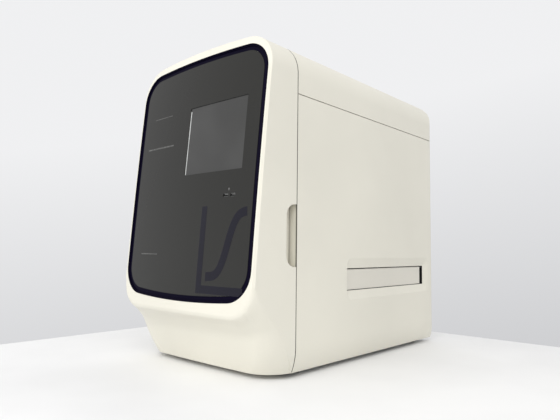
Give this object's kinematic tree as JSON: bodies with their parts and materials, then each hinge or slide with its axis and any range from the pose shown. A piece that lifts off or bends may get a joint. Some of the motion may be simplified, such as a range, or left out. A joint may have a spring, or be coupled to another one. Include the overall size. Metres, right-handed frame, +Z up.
{
  "type": "real-time PCR machine",
  "caption": "Bench thermocycler with a leaning glass front door, a touchscreen, a side opening with a flap for sample plates, and an optical reader inside",
  "frame": {"origin": "on the bench plane under the middle of the closed machine's outer box, +Z up", "axes": "+X to the right as seen by the user in front, +Y from the front door to the rear panel, +Z up"},
  "size_m": [0.461, 0.7889, 0.74],
  "materials": {
    "housing": "fine-textured moulded plastic, warm off-white",
    "rim": "glossy dark violet-blue moulding",
    "front_glass": "smooth dark grey panel with a clear gloss",
    "screen": "dark grey touch glass, off",
    "lamp": "small clear lens",
    "socket_metal": "bare plated steel",
    "black_plastic": "black moulded plastic",
    "board": "green circuit board",
    "liner": "light grey sheet plastic",
    "magnet": "plated magnet and striker steel",
    "hinge_steel": "brushed steel",
    "sheet_metal": "light grey powder-coated sheet",
    "rear_metal": "off-white powder-coated sheet",
    "rubber": "black rubber",
    "flap": "moulded plastic, slightly warmer than the housing",
    "supply_case": "bare aluminium case",
    "aluminium": "machined aluminium",
    "dark_anodised": "black anodised aluminium",
    "ceramic": "white ceramic tile",
    "arm_metal": "clear anodised aluminium",
    "nest": "dark grey moulded frame",
    "brass": "machined brass",
    "motor": "black motor case",
    "steel": "ground steel",
    "filter_glass": "coated filter glass",
    "screws": "zinc-plated screw heads"
  },
  "bodies": {
    "chassis": {"left_side_panel": "housing", "right_side_panel": "housing", "top_cover": "housing", "base_pan": "sheet_metal", "feet": "rubber", "rear_panel": "rear_metal", "front_bulkhead": "sheet_metal", "hinge_arms": "hinge_steel", "hinge_pins": "hinge_steel", "catch_strikers": "magnet", "thermal_deck": "sheet_metal", "power_supply": "supply_case", "main_board": "board", "rear_ports": "socket_metal", "block_heat_sink": "aluminium", "cooling_tiles": "ceramic", "sample_block": "aluminium", "sink_fan_frame": "black_plastic", "exhaust_fan_frames": "black_plastic", "fan_guards": "socket_metal", "arm_rails": "arm_metal", "arm_motor": "motor", "cover_bridge": "sheet_metal", "step_motors": "motor", "deck_posts": "steel", "optics_deck": "dark_anodised", "light_shroud": "dark_anodised", "optics_tower": "dark_anodised", "camera_body": "dark_anodised", "lamp_housing": "dark_anodised", "power_inlet": "black_plastic", "panel_screws": "screws"},
    "door": {"door_shell": "housing", "lens_rim": "rim", "lens_panel": "front_glass", "touchscreen": "screen", "screen_frame": "black_plastic", "usb_sockets": "socket_metal", "socket_board": "board", "status_lamp": "lamp", "door_liner": "liner", "catch_magnets": "magnet"},
    "flap": {"side_flap": "flap", "flap_pins": "steel"},
    "arm": {"plate_arm": "arm_metal", "plate_adapter": "nest", "arm_rack": "brass"},
    "pinion": {"arm_pinion": "brass"},
    "cover": {"heated_cover": "aluminium", "cover_guides": "steel", "cover_screw": "steel"},
    "emission_turret": {"emission_wheel": "dark_anodised", "emission_filters": "filter_glass"},
    "excitation_turret": {"excitation_wheel": "dark_anodised", "excitation_filters": "filter_glass"},
    "cooler_rotor": {"sink_fan_rotor": "black_plastic"},
    "left_rotor": {"left_exhaust_rotor": "black_plastic"},
    "right_rotor": {"right_exhaust_rotor": "black_plastic"},
    "rocker": {"rocker_switch": "black_plastic"}
  },
  "joints": [
    {"name": "door_hinge", "type": "hinge", "parent": "chassis", "child": "door", "pos_m": [-0.2225, -0.2635, 0.37], "axis": [0, 0, -1], "range_deg": [0, 90]},
    {"name": "arm_slide", "type": "slide", "parent": "chassis", "child": "arm", "axis": [1, 0, 0], "range_m": [0, 0.286]},
    {"name": "flap_hinge", "type": "hinge", "parent": "chassis", "child": "flap", "pos_m": [0.22, 0.123, 0.2235], "axis": [0, -1, 0], "range_deg": [0, 90]},
    {"name": "pinion_spin", "type": "hinge", "parent": "chassis", "child": "pinion", "pos_m": [0.074, 0.05175, 0.177], "axis": [0, 0, 1], "range_deg": [0, 1220]},
    {"name": "cover_slide", "type": "slide", "parent": "chassis", "child": "cover", "axis": [0, 0, -1], "range_m": [0, 0.024]},
    {"name": "emission_turn", "type": "hinge", "parent": "chassis", "child": "emission_turret", "pos_m": [0, 0.17425, 0.54], "axis": [0, 0, 1], "continuous": true},
    {"name": "excitation_turn", "type": "hinge", "parent": "chassis", "child": "excitation_turret", "pos_m": [-0.074, 0.12425, 0.472], "axis": [1, 0, 0], "continuous": true},
    {"name": "cooler_fan_spin", "type": "hinge", "parent": "chassis", "child": "cooler_rotor", "pos_m": [0, 0.049, 0.136], "axis": [0, 1, 0], "continuous": true},
    {"name": "left_fan_spin", "type": "hinge", "parent": "chassis", "child": "left_rotor", "pos_m": [-0.105, 0.377, 0.56], "axis": [0, 1, 0], "continuous": true},
    {"name": "right_fan_spin", "type": "hinge", "parent": "chassis", "child": "right_rotor", "pos_m": [0.105, 0.377, 0.56], "axis": [0, 1, 0], "continuous": true},
    {"name": "rocker_tilt", "type": "hinge", "parent": "chassis", "child": "rocker", "pos_m": [-0.113, 0.391, 0.074], "axis": [1, 0, 0], "range_deg": [0, 14]}
  ],
  "couplings": [
    {"joint": "flap_hinge", "follows": "arm_slide", "rad_per_m": 5.49},
    {"joint": "pinion_spin", "follows": "arm_slide", "rad_per_m": 74.074}
  ]
}
